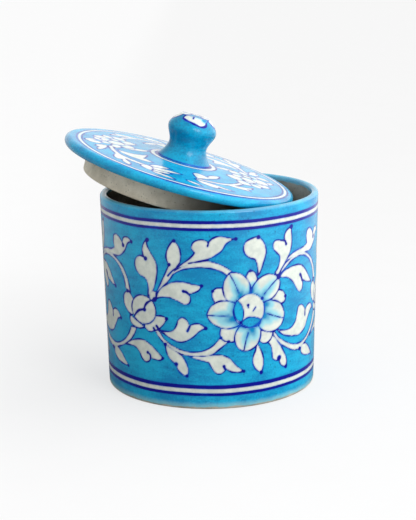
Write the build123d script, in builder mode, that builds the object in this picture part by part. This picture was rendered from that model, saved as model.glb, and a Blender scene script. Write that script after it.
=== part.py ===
from build123d import *
from math import cos, radians, sin
import os

# A small round pottery jar with a loose lid, hand made from quartz paste.
# The jar stands on z = 0 about the Z axis. The lid is laid on it askew: its left side
# sits up on the rim and its right edge has dropped a little way into the mouth.
# Each piece is formed by itself and luted to its neighbour before the glaze goes on,
# so the pieces of the jar and those of the lid meet face to face.

# Jar
jar_height = 89.2
foot_radius = 48.1
rim_radius = 50.0
wall_thickness = 3.3
base_thickness = 6.0
foot_bevel = 0.8
foot_edge_round = 0.4
outer_lip_round = 1.6
inner_lip_round = 1.5

# Lid, measured from the middle of the disc's thickness
lid_radius = 53.8
lid_edge_thickness = 4.8
lid_crown = 1.8
seat_radius = 13.6
ring_radius = 42.4
ring_thickness = 4.0
ring_depth = 9.6
ring_round = 1.2
knob_foot_radius = 12.4
knob_neck_radius = 8.8
knob_head_radius = 11.1
knob_top_radius = 6.6
knob_height = 21.0
knob_offset = 0.8
# Where the neck, the widest part of the head and the edge of the top stand, as shares of
# the knob's height, and which way its side runs at the foot and at the top
knob_neck_share = 0.31
knob_head_share = 0.71
knob_top_share = 0.975
knob_foot_direction = (-1, 0.6)
knob_top_direction = (-1, 0.18)

# How the lid leans: its middle stands left of the jar's axis, its right side is low
lid_tilt = 16.35
lid_middle = (-13.2, 0, 99.5)

os.makedirs("parts", exist_ok=True)


def outer_radius(height):
    """Radius of the jar's outside, a cone that opens slightly towards the rim."""
    return foot_radius + (rim_radius - foot_radius) * height / jar_height


# The lid's own directions: across it to the right and down, and up along its axis
lid_across = Vector(cos(radians(lid_tilt)), 0, -sin(radians(lid_tilt)))
lid_up = Vector(sin(radians(lid_tilt)), 0, cos(radians(lid_tilt)))
lid_section = Plane(origin=lid_middle, x_dir=lid_across, z_dir=(0, -1, 0))
lid_axis = Axis(lid_middle, lid_up)
knob_middle = Vector(*lid_middle) + lid_across * knob_offset
knob_section = Plane(origin=knob_middle, x_dir=lid_across, z_dir=(0, -1, 0))
knob_axis = Axis(knob_middle, lid_up)

# Heights in the lid's own frame
disc_bottom = -lid_edge_thickness / 2
disc_top = lid_edge_thickness / 2
seat_height = disc_top + lid_crown
rounding_radius = lid_radius - lid_edge_thickness / 2

# Base: a flat round slab whose lower edge is wiped round
with BuildPart() as jar_base:
    with BuildSketch(Plane.XZ):
        with BuildLine():
            Polyline(
                (0, 0),
                (foot_radius - foot_bevel, 0),
                (outer_radius(foot_bevel), foot_bevel),
                (outer_radius(base_thickness), base_thickness),
                (0, base_thickness),
                close=True,
            )
        make_face()
    revolve(axis=Axis.Z)
    foot_edges = jar_base.edges().filter_by(GeomType.CIRCLE).sort_by(Axis.Z)[:2]
    fillet(foot_edges[1], foot_edge_round)
jar_base.part.label = "jar_base"

# Wall: an even band stood on the base, with a rounded lip
with BuildPart() as jar_wall:
    with BuildSketch(Plane.XZ):
        with BuildLine():
            Polyline(
                (outer_radius(base_thickness) - wall_thickness, base_thickness),
                (outer_radius(base_thickness), base_thickness),
                (rim_radius, jar_height),
                (rim_radius - wall_thickness, jar_height),
                close=True,
            )
        make_face()
        lip = vertices().sort_by(Axis.Z)[-2:].sort_by(Axis.X)
        fillet(lip[1], outer_lip_round)
        inner_corner = vertices().group_by(Axis.Z)[-1].sort_by(Axis.X)[0]
        fillet(inner_corner, inner_lip_round)
    revolve(axis=Axis.Z)
jar_wall.part.label = "jar_wall"

# Lid disc: a thin plate with a full round edge, crowned a little towards the knob's seat
with BuildPart() as lid_disc:
    with BuildSketch(lid_section):
        with BuildLine():
            Line((0, disc_bottom), (rounding_radius, disc_bottom))
            ThreePointArc(
                (rounding_radius, disc_bottom),
                (lid_radius, 0),
                (rounding_radius, disc_top),
            )
            Line((rounding_radius, disc_top), (seat_radius, seat_height))
            Line((seat_radius, seat_height), (0, seat_height))
            Line((0, seat_height), (0, disc_bottom))
        make_face()
    revolve(axis=lid_axis)
lid_disc.part.label = "lid_disc"

# Locating ring: the bare collar under the disc that drops inside the jar's mouth
with BuildPart() as lid_ring:
    with BuildSketch(lid_section):
        with BuildLine():
            Polyline(
                (ring_radius - ring_thickness, disc_bottom),
                (ring_radius, disc_bottom),
                (ring_radius, disc_bottom - ring_depth),
                (ring_radius - ring_thickness, disc_bottom - ring_depth),
                close=True,
            )
        make_face()
    revolve(axis=lid_axis)
    rim_edges = lid_ring.edges().filter_by(GeomType.CIRCLE).sort_by(lid_axis)[:2]
    fillet(rim_edges, ring_round)
lid_ring.part.label = "lid_ring"

# Knob: a waisted finger grip with a flared foot and a flattened, sloping head
knob_neck_height = seat_height + knob_neck_share * knob_height
knob_head_height = seat_height + knob_head_share * knob_height
knob_top_height = seat_height + knob_top_share * knob_height
knob_crown_height = seat_height + knob_height
with BuildPart() as lid_knob:
    with BuildSketch(knob_section):
        with BuildLine():
            Line((0, seat_height), (knob_foot_radius, seat_height))
            Spline(
                (knob_foot_radius, seat_height),
                (knob_neck_radius, knob_neck_height),
                (knob_head_radius, knob_head_height),
                (knob_top_radius, knob_top_height),
                tangents=(knob_foot_direction, knob_top_direction),
            )
            Line((knob_top_radius, knob_top_height), (0, knob_crown_height))
            Line((0, knob_crown_height), (0, seat_height))
        make_face()
    revolve(axis=knob_axis)
lid_knob.part.label = "lid_knob"

for piece in (jar_base, jar_wall, lid_disc, lid_ring, lid_knob):
    export_step(piece.part, "parts/" + piece.part.label + ".step")
    print(piece.part.label, round(piece.part.volume), "mm3")
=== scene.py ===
import bpy
import numpy as np
from functools import reduce
from math import asin, cos, pi, radians, sin
from mathutils import Matrix, Vector


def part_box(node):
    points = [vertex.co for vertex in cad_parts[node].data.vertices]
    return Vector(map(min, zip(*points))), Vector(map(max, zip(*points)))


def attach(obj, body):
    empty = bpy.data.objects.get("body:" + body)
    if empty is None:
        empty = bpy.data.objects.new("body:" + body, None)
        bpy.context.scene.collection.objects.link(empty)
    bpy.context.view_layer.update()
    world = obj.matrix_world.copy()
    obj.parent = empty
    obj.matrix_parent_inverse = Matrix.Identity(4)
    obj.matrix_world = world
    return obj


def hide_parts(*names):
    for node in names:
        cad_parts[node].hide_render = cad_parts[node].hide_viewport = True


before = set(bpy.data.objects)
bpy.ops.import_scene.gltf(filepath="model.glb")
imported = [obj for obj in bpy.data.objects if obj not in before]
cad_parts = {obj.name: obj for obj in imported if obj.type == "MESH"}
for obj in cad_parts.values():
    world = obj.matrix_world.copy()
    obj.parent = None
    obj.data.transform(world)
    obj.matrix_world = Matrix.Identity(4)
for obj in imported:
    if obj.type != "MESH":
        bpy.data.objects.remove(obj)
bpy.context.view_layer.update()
mm = 0.001
print("frame loaded")


# shapes are worked out in millimetres and turned into metres when they become a mesh
def boxOf(node):
    low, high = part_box(node)
    return np.array(low) / mm, np.array(high) / mm


def arcPoints(centre, radius, start, end, count):
    # points on a circle about centre, from the start angle to the end angle in degrees
    angle = np.radians(np.linspace(start, end, count))
    return np.stack([centre[0] + radius * np.cos(angle), centre[1] + radius * np.sin(angle)], axis=1)


def straightPoints(start, end, count):
    share = np.linspace(0, 1, count)[:, None]
    return np.array(start, float) * (1 - share) + np.array(end, float) * share


def joined(*runs):
    # one profile from several runs, leaving out the repeated point at each join
    return np.concatenate([runs[0]] + [run[1:] for run in runs[1:]])


def smoothRun(points, perSpan=7):
    # curve through the given points: each span is a cubic whose end slopes look to both neighbours,
    # slope = back difference + forward difference - overall difference, over root-of-length steps
    spot = np.array(points, float)
    if len(spot) == 2:
        return straightPoints(spot[0], spot[1], perSpan)
    step = np.sqrt(np.hypot(*np.diff(spot, axis=0).T))[:, None]
    secant = np.diff(spot, axis=0) / step
    overall = (spot[2:] - spot[:-2]) / (step[1:] + step[:-1])
    inner = secant[:-1] + secant[1:] - overall
    slope = np.concatenate([1.5 * secant[:1] - 0.5 * inner[:1], inner, 1.5 * secant[-1:] - 0.5 * inner[-1:]])
    t = np.linspace(0, 1, perSpan, endpoint=False)[None, :, None]
    start, end = spot[:-1, None], spot[1:, None]
    leave, arrive = (slope[:-1] * step)[:, None], (slope[1:] * step)[:, None]
    curve = ((2 * t**3 - 3 * t**2 + 1) * start + (t**3 - 2 * t**2 + t) * leave
             + (3 * t**2 - 2 * t**3) * end + (t**3 - t**2) * arrive)
    return np.concatenate([curve.reshape(-1, 2), spot[-1:]])


def lathePoints(profile, columns):
    # place = (r sin a, -r cos a, h): every profile point carried round the axis, starting at the front
    angle = np.arange(columns) * 2 * pi / columns
    radius, height = profile[:, :1], profile[:, 1:]
    return np.stack([radius * np.sin(angle), -radius * np.cos(angle),
                     height + 0 * angle], axis=-1), angle


def latheObject(name, points, attributes, closedProfile=False):
    # rows follow the profile and columns go round; the ends close to a pole, or to each other
    rows, columns = points.shape[:2]
    last = rows if closedProfile else rows - 1
    row, column = np.meshgrid(np.arange(last), np.arange(columns), indexing="ij")
    above, beside = (row + 1) % rows, (column + 1) % columns
    quads = np.stack([row * columns + column, row * columns + beside,
                      above * columns + beside, above * columns + column], axis=-1).reshape(-1, 4)
    vertices = points.reshape(-1, 3)
    fans = np.zeros((0, 3), int)
    if not closedProfile:
        around = np.arange(columns)
        beside = (around + 1) % columns
        under, over = rows * columns, rows * columns + 1
        top = (rows - 1) * columns
        fans = np.concatenate([np.stack([under + 0 * around, beside, around], axis=-1),
                               np.stack([over + 0 * around, top + around, top + beside], axis=-1)])
        vertices = np.concatenate([vertices, points[:1].mean(axis=1), points[-1:].mean(axis=1)])
    mesh = bpy.data.meshes.new(name)
    mesh.vertices.add(len(vertices))
    mesh.vertices.foreach_set("co", (vertices * mm).astype(np.float32).ravel())
    corners = np.concatenate([quads.ravel(), fans.ravel()])
    starts = np.concatenate([4 * np.arange(len(quads)), 4 * len(quads) + 3 * np.arange(len(fans))])
    mesh.loops.add(len(corners))
    mesh.loops.foreach_set("vertex_index", corners.astype(np.int32))
    mesh.polygons.add(len(starts))
    mesh.polygons.foreach_set("loop_start", starts.astype(np.int32))
    mesh.update(calc_edges=True)
    mesh.shade_smooth()
    for key, values in attributes.items():
        flat = values.ravel()
        if not closedProfile:
            flat = np.concatenate([flat, [values[0].mean(), values[-1].mean()]])
        layer = mesh.attributes.new(key, "FLOAT", "POINT")
        layer.data.foreach_set("value", flat.astype(np.float32))
    piece = bpy.data.objects.new(name, mesh)
    bpy.context.collection.objects.link(piece)
    print(name, len(mesh.polygons), "faces")
    return piece


# painting is worked out on a flat chart of the surface, as distances from the shapes' edges
farAway = 50.0
edgeReach = 3


def newChart(across, up, around=None):
    # around is the chart's length where its two sides meet
    blank = np.full(across.size, farAway)
    return {"x": across.ravel(), "y": up.ravel(), "around": around, "shape": across.shape,
            "white": blank.copy(), "line": -blank, "wash": 0 * blank}


def paintOf(chart, **others):
    # the chart's layers and any other values, laid out on the surface's grid
    layers = {key: chart[key].reshape(chart["shape"]) for key in ("white", "line", "wash")}
    return {**layers, **{key: np.broadcast_to(values, chart["shape"]) for key, values in others.items()}}


def chartNear(chart, spot, margin):
    # the chart's points round a shape: their indices and their places in the shape's own terms
    middle = (spot.min(axis=0) + spot.max(axis=0)) / 2
    reach = (spot.max(axis=0) - spot.min(axis=0)) / 2 + margin
    x = chart["x"] - middle[0]
    if chart["around"]:
        x = (x + chart["around"] / 2) % chart["around"] - chart["around"] / 2
    y = chart["y"] - middle[1]
    near = np.nonzero((np.abs(x) < reach[0]) & (np.abs(y) < reach[1]))[0]
    return near, x[near] + middle[0], y[near] + middle[1]


def distanceTo(run, x, y):
    # shortest distance from each place to a run of straight bits
    start, step = run[:-1], np.diff(run, axis=0)
    offX, offY = x[:, None] - start[:, 0], y[:, None] - start[:, 1]
    share = (offX * step[:, 0] + offY * step[:, 1]) / np.maximum((step**2).sum(axis=1), 1e-9)
    share = np.clip(share, 0, 1)
    return np.hypot(offX - share * step[:, 0], offY - share * step[:, 1]).min(axis=1)


def signedDistance(outline, x, y):
    # distance to a closed outline, negative inside it; a place is inside if a level ray from it
    # crosses the outline an odd number of times
    loop = np.concatenate([outline, outline[:1]])
    x1, y1, x2, y2 = loop[:-1, 0], loop[:-1, 1], loop[1:, 0], loop[1:, 1]
    spans = (y1 > y[:, None]) != (y2 > y[:, None])
    rise = np.where(y2 == y1, 1, y2 - y1)
    crossing = x1 + (y[:, None] - y1) * (x2 - x1) / rise
    inside = (spans & (x[:, None] < crossing)).sum(axis=1) % 2 == 1
    away = distanceTo(loop, x, y)
    return np.where(inside, -away, away)


def brushWeight(x, y):
    # the line swells and thins along its way as the brush is pressed
    return 1 + 0.16 * np.sin(0.5 * x + 0.9 * y) + 0.14 * np.sin(1.1 * x - 0.6 * y + 2)


def outlineOf(strokes):
    # a shape's strokes follow on from each other; each one is smooth and they meet in corners
    start = strokes[0][0]
    runs, corner = [], start
    for place, stroke in enumerate(strokes):
        points = list(stroke) if place == 0 else [corner] + list(stroke)
        if place == len(strokes) - 1:
            points.append(start)
        runs.append(smoothRun(points)[:-1])
        corner = points[-1]
    return np.concatenate(runs)


def layShapes(chart, outlines, lineHalf, slip=True):
    # shapes laid down together: one edge line round all of them, covering what was there before
    away = np.full(chart["x"].shape, farAway)
    for outline in outlines:
        near, x, y = chartNear(chart, outline, edgeReach)
        away[near] = np.minimum(away[near], signedDistance(outline, x, y))
    near = np.nonzero(away < edgeReach)[0]
    away, x, y = away[near], chart["x"][near], chart["y"][near]
    line = np.minimum(chart["line"][near], away)
    chart["line"][near] = np.maximum(line, lineHalf * brushWeight(x, y) - np.abs(away))
    white = chart["white"][near]
    chart["white"][near] = np.minimum(white, away) if slip else np.maximum(white, -away)
    chart["wash"][near] = np.where(away < 0, 0, chart["wash"][near])


def drawLine(chart, points, lineHalf):
    run = smoothRun(points)
    near, x, y = chartNear(chart, run, 2)
    depth = lineHalf * brushWeight(x, y) - distanceTo(run, x, y)
    chart["line"][near] = np.maximum(chart["line"][near], depth)


def dab(chart, spot, radius):
    near, x, y = chartNear(chart, np.array([spot, spot], float), radius + 1)
    depth = radius - np.hypot(x - spot[0], y - spot[1])
    chart["line"][near] = np.maximum(chart["line"][near], depth)


def washRound(chart, centre, inner, reach, strength):
    # thin colour that starts at the inner radius and fades outwards
    near, x, y = chartNear(chart, np.array([centre, centre], float), inner + 3 * reach)
    away = np.hypot(x - centre[0], y - centre[1]) - inner
    fade = strength * np.exp(-(np.maximum(away, 0) / reach) ** 2)
    chart["wash"][near] = np.maximum(chart["wash"][near], fade)


def washAlong(chart, points, reach, strength):
    # thin colour down a petal's middle, strongest at the first point
    run = smoothRun(points)
    near, x, y = chartNear(chart, run, 2 * reach)
    across = distanceTo(run, x, y) / reach
    length = np.hypot(*(run[-1] - run[0]))
    down = np.clip(np.hypot(x - run[0][0], y - run[0][1]) / length, 0, 1.4)
    fade = strength * np.exp(-across**2) * np.clip(1.1 - down, 0, 1)
    chart["wash"][near] = np.maximum(chart["wash"][near], fade)


def ellipseOutline(centre, across, up, count=48):
    return arcPoints((0, 0), 1, 0, 360, count)[:-1] * [across, up] + centre


# one length of the vine, drawn flat: across from the front, then height; each list is a brush stroke
vine = {
    "repeats": 3, "lineHalf": 0.33, "looseness": 0.8, "front": -0.4, "pressure": 1.25,
    # on the repeat left of the front these leaves, found by where their middles are, were drawn further left
    "leftLeaves": ((40, 63), (34, 56.5)), "leftShift": (-4.6, -0.4),
    "stems": {
        "budStem": [[(-25.3, 49.5), (-22.5, 54.6), (-18.6, 58.9), (-13.5, 62.6), (-7, 64.3), (-1, 64.3),
                     (4, 63), (8, 60.5)], [(10, 62.3)],
                    [(5.5, 65.4), (0.5, 67.2), (-4, 67.4), (-9, 66.3), (-14, 63.6), (-20.5, 58.6), (-24.3, 52)]],
        "lowStem": [[(-26, 35), (-23.2, 31.2), (-20, 28.6)],
                    [(-15.5, 26), (-11, 24.8), (-5, 24.4), (0.5, 25.2), (4.5, 28), (8.2, 31)], [(4.2, 32.8)],
                    [(0.5, 28.9), (-4, 26.9), (-10, 26.5), (-16, 28.2), (-21, 31.3), (-24.2, 35)]],
        "highStem": [[(33.2, 58), (36.5, 60.7), (41, 63.5), (46.5, 64.6), (52, 63.4), (57, 60.2), (60.6, 55.8),
                      (62.4, 51)], [(65.6, 50)],
                     [(62.8, 56.3), (59, 61), (54.5, 64), (50, 66), (44, 66.3), (38.5, 64), (34.5, 60.8)]],
        "farStem": [[(29.3, 33.2), (33, 27.8), (38, 24.2), (43, 21.8), (48.4, 21)],
                    [(52, 22.5), (57, 24.8), (62, 28), (66, 31.6), (68.5, 35)], [(64.6, 35.3)],
                    [(61.5, 31), (57, 27), (51, 24.3), (44, 24.4), (38, 26.7), (33, 30.2), (30, 33.6)]],
        "joint": [[(-28.4, 51.6), (-26.6, 53)], [(-24.6, 52.6)], [(-24.8, 49.2)], [(-27.4, 48)]],
    },
    "leaves": {
        "leftFork": [[(-29, 50.2), (-28.8, 54.6), (-29.7, 57.6), (-33.2, 59.2), (-35.7, 62), (-35.6, 65.6),
                      (-33.2, 67.8), (-30.4, 67.4)], [(-31.3, 70.3), (-30.5, 73.4), (-28.6, 75.6)],
                     [(-28.6, 73.2), (-26.8, 69.8), (-24.2, 65.9), (-23.8, 61.5), (-24.9, 56), (-26.8, 51.8)]],
        "smallSprig": [[(-24.9, 51.8), (-22, 57), (-20, 61), (-17.9, 65.2)],
                       [(-19.2, 68.5), (-18.3, 72.5), (-15.6, 76.3)], [(-13.2, 73.5), (-12.4, 70), (-12.9, 66.3)],
                       [(-15, 63.4), (-17, 59.6), (-21.6, 54.6)]],
        "topLeaf": [[(-15, 63.5), (-12, 65.9), (-8.6, 68.4), (-6.3, 71)],
                    [(-7.7, 73.2), (-6.7, 75.7), (-3.8, 76.8), (-1.3, 76.3), (-0.3, 75.3)],
                    [(1.3, 77.2), (4.4, 78.2), (8, 77.5), (11, 76.7)],
                    [(7.6, 74.8), (5.2, 71.5), (1.5, 69.1), (-2, 67.8)], [(-9, 65)]],
        "budLeaf": [[(-25, 49.3), (-22.5, 54.2), (-19.8, 56.1), (-15.5, 57.8), (-11, 57.9), (-6.5, 56.9),
                     (-3.4, 56.5)], [(-4.8, 54.3), (-7, 53.2), (-9.3, 52.5)],
                    [(-8.4, 50.5), (-9.3, 48.3), (-11.5, 47.9), (-14.5, 49.3), (-18.7, 50.6), (-22, 50.3)]],
        "midLeaf": [[(-23.5, 35.4), (-20, 35), (-17, 35.7), (-15.3, 38), (-14.2, 40.9), (-12.4, 42), (-10.5, 41),
                     (-9.2, 38.4)], [(-7.3, 39.2), (-4.7, 39.3), (-1.6, 37.3)],
                    [(-4.6, 36), (-7.5, 33.3), (-11, 31.2), (-14.5, 30.7), (-18, 31.9), (-22, 34.3)]],
        "dropSprig": [[(-20.7, 29.2), (-20.5, 26), (-18.9, 22.8), (-15.9, 20.2)],
                      [(-14.8, 17.6), (-12.9, 15.8), (-10.6, 15)],
                      [(-10.1, 17.6), (-10.8, 21), (-12.8, 24.3), (-15.6, 26.4)]],
        "lowLeaf": [[(-11, 24.9), (-6, 23.1), (-1, 21.8)],
                    [(0.5, 19.3), (2.2, 16.9), (4.3, 16.3), (6.3, 17.6), (6.6, 18.8)],
                    [(9.5, 17), (12.5, 16.6), (15.5, 16.8)], [(12, 19.5), (8.5, 23.4), (5, 25), (0.5, 25.2)],
                    [(-5, 24.7)]],
        "underSprig": [[(21.2, 28.8), (20.9, 26), (19.6, 22.8), (19.6, 19.5), (21.2, 16.8), (23.9, 15)],
                       [(24.9, 19), (24.6, 23), (23.2, 26.3), (21.6, 28.9)]],
        "underLeaf": [[(27, 28.6), (28.8, 26.5), (29.5, 23.5), (29.8, 20.8), (31.5, 19.4), (33.6, 19.3)],
                      [(34.6, 17), (36.4, 15.6), (38.3, 15)],
                      [(38.4, 18.5), (36.6, 22.5), (33.7, 26.8), (29.8, 31)]],
        "topSprig": [[(21.8, 60), (21.5, 64), (20.4, 66.8), (18.2, 67.7), (16, 69.3), (15, 72), (16, 75),
                      (18.8, 76.4), (22, 76.9)], [(24.8, 74), (25.9, 70), (24.8, 65.5), (22.3, 60)]],
        "upperFork": [[(30.6, 59.6), (32.8, 62.8), (33.2, 66.6), (31.5, 68.5), (29.7, 70.5), (29.6, 73),
                       (31, 74.1), (34, 73.7), (36.5, 72.9)], [(35.8, 75), (37, 77.4), (40.2, 79)],
                      [(40.4, 76), (40.8, 72), (39.9, 68.3), (38, 65)], [(35, 61.5), (32.5, 58.5)]],
        "overLeaf": [[(36, 63.5), (40, 66.2), (45, 67.6), (50, 68.1), (53, 69.2)],
                     [(52.4, 72.5), (53.3, 75), (55.8, 75.6), (58.5, 74.2), (60.3, 71.8)],
                     [(62, 74.4), (65.5, 74.4), (67.6, 72.6)],
                     [(64.5, 71.6), (61.5, 67.9), (57.5, 65.4), (52.5, 65.2)], [(44, 65)]],
        "hookLeaf": [[(33.5, 57.2), (35.5, 59.4), (39, 60.5), (44, 60.9), (48.5, 60), (53, 56.5), (56.5, 52.8),
                      (59, 50.3)], [(55.5, 50.8), (52, 51.8), (49.4, 53.2)],
                     [(49.9, 50.5), (49, 48.5), (47.2, 48), (45, 49.6), (42, 53.5), (38.5, 56), (35, 56.8)]],
        "farLeaf": [[(31.5, 34), (36, 32.6), (41, 32.7), (44.3, 35), (45.5, 38.5), (46.5, 41.3), (49, 41.7),
                     (51.3, 40.3), (52.8, 38.2)], [(55.5, 40), (59, 40), (62, 37.5)],
                    [(58.5, 36.5), (55.5, 33.3), (52.5, 29.8), (48, 28.1), (42, 28.6), (36, 30.4)]],
        "footLeaf": [[(50, 22.8), (49.5, 19.3), (53, 17), (57.5, 15.9), (62, 15.3)],
                     [(59.5, 18), (57, 20.5), (53.5, 22.5)]],
        "runnerLeaf": [[(-46, 25), (-41, 25.5), (-37.5, 25.2), (-35.3, 23.5), (-33.8, 20.8), (-31.5, 19.4),
                        (-29.5, 20.3), (-28.8, 21.7)], [(-26.5, 21.3), (-24, 21.2), (-22, 22.4)],
                       [(-24.5, 24.8), (-28, 27.6), (-32, 29.5), (-36, 29.3), (-41, 27.5)]],
    },
    "leafLines": [
        ([(-0.3, 75.3), (-0.6, 74)], 0.36), ([(-9, 66.3), (-4, 67.3), (0, 68.3)], 0.3),
        ([(-14.6, 64), (-16.6, 62.4), (-18.6, 60.2)], 0.28),
        ([(-9, 52.3), (-10.2, 53.4), (-11.6, 53.8)], 0.5), ([(-9, 38.3), (-10.2, 35.9)], 0.42),
        ([(6.6, 18.3), (6, 19.8)], 0.42), ([(36.5, 72.9), (37, 71.6)], 0.42),
        ([(49.3, 53), (48.3, 55), (47.3, 55.9)], 0.6), ([(52.8, 38.2), (52.7, 36)], 0.42),
        ([(-28.9, 21.5), (-29, 23), (-30.3, 24)], 0.42), ([(60.4, 71.6), (60.9, 70.3)], 0.42)],
    "leafDabs": [
        (-29.6, 66.9, 0.8), (-28.3, 75.4, 0.8), (-17.9, 65.3, 0.7), (-15.3, 76, 0.7), (11.6, 76.7, 0.7),
        (-11.6, 53.8, 0.6), (-3.5, 56.4, 0.7), (-1.9, 37.3, 0.7), (-15.8, 20.4, 0.8), (-10.8, 15.3, 0.7),
        (-20.8, 29, 0.7), (6, 19.8, 0.6), (15.2, 16.8, 0.6), (23.8, 15.2, 0.8), (20.9, 28.3, 0.7),
        (33.7, 20.2, 1), (38, 15.3, 0.8), (22, 76.6, 0.8), (40.2, 78.8, 0.9), (37, 71.6, 0.6), (48.2, 21.1, 0.8),
        (60.8, 70.6, 0.8), (67.3, 72.6, 0.7), (58.7, 50.4, 0.7), (61.7, 37.5, 0.6), (61.7, 15.4, 0.6),
        (-30.3, 24, 0.6), (-22.3, 22.4, 0.6)],
    "budBack": {
        "leftSepal": [[(-38.5, 48.2), (-40, 49.8), (-41.6, 50.6)], [(-44.3, 48.4), (-44.5, 44.5), (-41.5, 40.8),
                      (-38.8, 40)], [(-36, 44)]],
        "skirtSepal": [[(-25.3, 41.5), (-22, 41.8), (-19.6, 40.9)], [(-21.3, 38.2), (-23.6, 35.8)],
                       [(-26, 34.6), (-28.6, 33.9), (-31.6, 35.4)], [(-30, 40)]],
    },
    "budBody": ((-32, 43.5), 7, 6.6),
    "budFront": {"lowSepal": [[(-40.4, 39.8), (-40.5, 37), (-38.6, 35.2), (-35.2, 34.5), (-31.4, 35.4)],
                              [(-35, 37.4)]]},
    "budLines": [([(-26.3, 48.7), (-29.5, 47), (-31, 45), (-31.3, 43.6)], 0.42),
                 ([(-31.3, 43.6), (-34.5, 42.8), (-37.2, 40.2)], 0.42),
                 ([(-26.6, 35.8), (-26, 34.9)], 0.4), ([(-25, 37), (-23.5, 35.3)], 0.4)],
    "budDabs": [(-41.6, 50.4, 0.7), (-19.8, 40.8, 0.7), (-31.3, 43.6, 0.8), (-25.5, 48.9, 0.9)],
    "sepals": {
        "topSepal": [[(16.2, 59.6), (17.2, 61.6), (18.4, 62.3)], [(20.4, 61.2), (21.7, 58.3)], [(19.2, 54)]],
        "rightSepal": [[(32.8, 51.7), (35.4, 50.7), (37.2, 48.1)], [(36.6, 45.8), (34.5, 45.1)], [(28, 48)]],
        "lowSepal": [[(23.3, 35), (26, 33.8), (30, 33)], [(28.9, 30), (26.8, 28.4)], [(24.7, 28.5), (22.9, 29.8)]],
        "lowLeftSepal": [[(4.8, 37.2), (4.3, 35), (4.6, 32.8)], [(6.5, 31.3), (8.2, 30.9)], [(11, 31), (12.5, 38)]],
        "leftSepal": [[(2.3, 48.6), (1.2, 51), (1.2, 54.1)], [(3, 55.3), (5.8, 55.2)], [(9, 49)]],
    },
    "petals": {
        "upperLeft": [[(8.6, 61.8), (11.8, 61.8), (15.4, 60), (17.9, 56.3), (18.2, 53.4), (17, 48)],
                      [(11, 48.6), (7.6, 49.8), (5.8, 54.2), (6.5, 58.6)]],
        "upperRight": [[(32.8, 57.3), (30, 59), (26, 59.6), (22, 57.8), (19.2, 54.5), (18.8, 51)],
                       [(22, 47.5), (26.5, 47.6), (30.3, 49), (33.2, 52.5), (33.6, 55)]],
        "right": [[(36.2, 38), (36.4, 40.5), (34.8, 44.5), (31.5, 46.8), (27.5, 47.6), (24, 47)],
                  [(22, 38), (24, 34.9), (28, 33.2), (31.5, 33.5), (34.6, 35.4)]],
        "lower": [[(15.2, 26), (18, 26.2), (21.3, 28), (23.2, 31.5), (23.2, 35), (21, 38.5)],
                  [(15, 38.8), (12.2, 36.3), (10.9, 33), (11.3, 29.8), (13, 27.2)]],
        "left": [[(-1.5, 43.2), (0, 46.6), (3.5, 49.2), (7, 49.5), (11, 48.2), (13, 44)],
                 [(14, 39), (11, 37.3), (7.5, 36.9), (3.5, 38), (0, 40.5)]],
    },
    "veins": [[(8.6, 61.8), (10.8, 57.5), (13, 52.5)], [(32.8, 57.3), (29, 54.5), (25, 50.8)],
              [(36.2, 38), (31.5, 39.8), (26, 42)], [(15.2, 26), (16, 30), (17.3, 34.5)],
              [(-1.5, 43.2), (4, 42.9), (9, 42.3)]],
    "shading": [[(18.6, 51.6), (20.6, 57.6)], [(13.6, 51), (14.6, 57)], [(10.6, 41.4), (2, 40.2)],
                [(24.6, 41.6), (30.6, 37)], [(18.6, 36.6), (21.6, 29.6)], [(24.8, 46.4), (31, 45)]],
    # the wash's widths and strengths down a vein, down a shaded side and round the middle
    "veinHalf": 0.27, "veinWash": (2.6, 0.75), "sideWash": (3, 1), "middleWash": (7.4, 2.9, 0.7),
    # the middle, and the strokes that go round it: radius, from and to in degrees, half width
    "middle": ((17.9, 44.2), 7.3, 7.7), "middleHalf": 0.27, "crescentHalf": 0.3,
    "middleArcs": [(7.5, 150, 320, 0.36), (7.6, -40, 150, 0.16)],
    "crescents": {
        "leftGap": [[(12, 49.6), (14.2, 47), (15.1, 43.5), (14.3, 39.4)], [(11.6, 41.2), (10.6, 45.5)]],
        "lowGap": [[(13.4, 39), (17, 41.1), (20, 41.1), (23.6, 39.6)],
                   [(22.6, 37.4), (19.2, 36.5), (15.8, 37.6)]],
    },
    "flowerLines": [([(17.2, 46.9), (17.3, 45.6)], 0.3), ([(20.8, 45.5), (19.5, 43.8)], 0.26)],
    "flowerDabs": [(18.2, 62.1, 0.6), (37, 48.1, 0.7), (4.7, 32.9, 0.6), (8.2, 31, 0.6), (1.3, 54, 0.6),
                   (32.8, 57.5, 1), (24, 49.1, 0.7), (13.8, 39.2, 0.7), (17.2, 46.8, 0.55)],
}


def loosened(points, amount, turn):
    # the same drawing done again by hand: every point drifts by slow waves, more for a larger amount
    spot = np.array(points, float)
    x, y = spot[:, 0], spot[:, 1]
    drift = np.stack([np.sin(0.11 * x + 0.17 * y + turn), np.sin(0.14 * x - 0.1 * y + 2 * turn)], axis=1)
    return spot + amount * drift


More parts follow.
